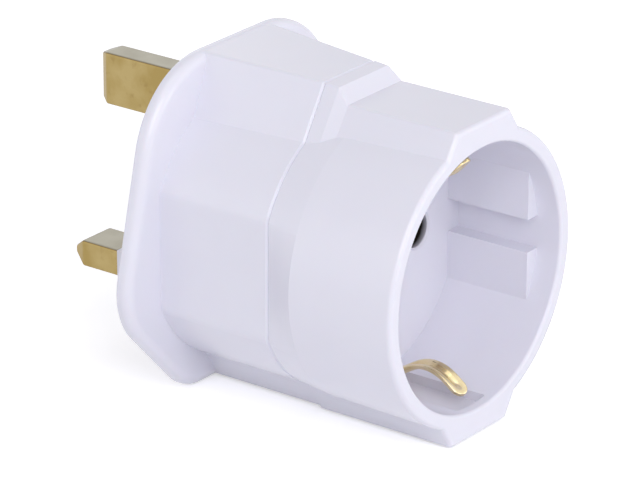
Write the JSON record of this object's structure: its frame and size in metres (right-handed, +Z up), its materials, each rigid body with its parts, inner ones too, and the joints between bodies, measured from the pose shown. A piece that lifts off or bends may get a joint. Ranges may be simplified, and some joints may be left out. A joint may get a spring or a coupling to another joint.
{
  "type": "travel adapter",
  "caption": "One-piece travel adapter: a recessed round socket with side earth clips at the front, rectangular plug pins and a flange at the back, in a glossy white two-shell housing",
  "frame": {"origin": "on the axis of the round socket, in the flat pin face (the outer face of the flange)", "axes": "+Y points out of the pin face along the rectangular pins, toward the wall; the round socket opens to -Y; +Z is up, toward the earth pin; +X is the live side, at the right when looking along +Y"},
  "size_m": [0.0526, 0.0671, 0.0504],
  "materials": {
    "shell_plastic": "glossy moulded white with a faint lavender tint",
    "carrier_plastic": "plain moulded inner insulator",
    "sleeve_plastic": "smooth white insulating sleeve",
    "pin_brass": "drawn brass, slightly dulled",
    "clip_brass": "bright rolled spring brass",
    "fuse_ceramic": "unglazed fired ceramic",
    "cap_nickel": "nickel-plated brass",
    "screw_steel": "zinc-plated steel"
  },
  "bodies": {
    "root": {"contact_carrier": "carrier_plastic", "earth_link": "clip_brass", "earth_pin": "pin_brass", "earth_rivet": "clip_brass", "earth_strip": "clip_brass", "front_shell": "shell_plastic", "fuse_body": "fuse_ceramic", "fuse_cap_line": "cap_nickel", "fuse_cap_load": "cap_nickel", "fuse_carrier": "shell_plastic", "fuse_clip_line": "clip_brass", "fuse_clip_load": "clip_brass", "fuse_clip_rivet": "clip_brass", "housing_screw_1": "screw_steel", "housing_screw_2": "screw_steel", "housing_screw_3": "screw_steel", "housing_screw_4": "screw_steel", "line_contact": "clip_brass", "line_pin": "pin_brass", "line_pin_sleeve": "sleeve_plastic", "line_rivet": "clip_brass", "line_strap": "clip_brass", "neutral_contact": "clip_brass", "neutral_pin": "pin_brass", "neutral_pin_sleeve": "sleeve_plastic", "neutral_rivet": "clip_brass", "neutral_strap": "clip_brass", "rear_shell": "shell_plastic"}
  },
  "joints": []
}
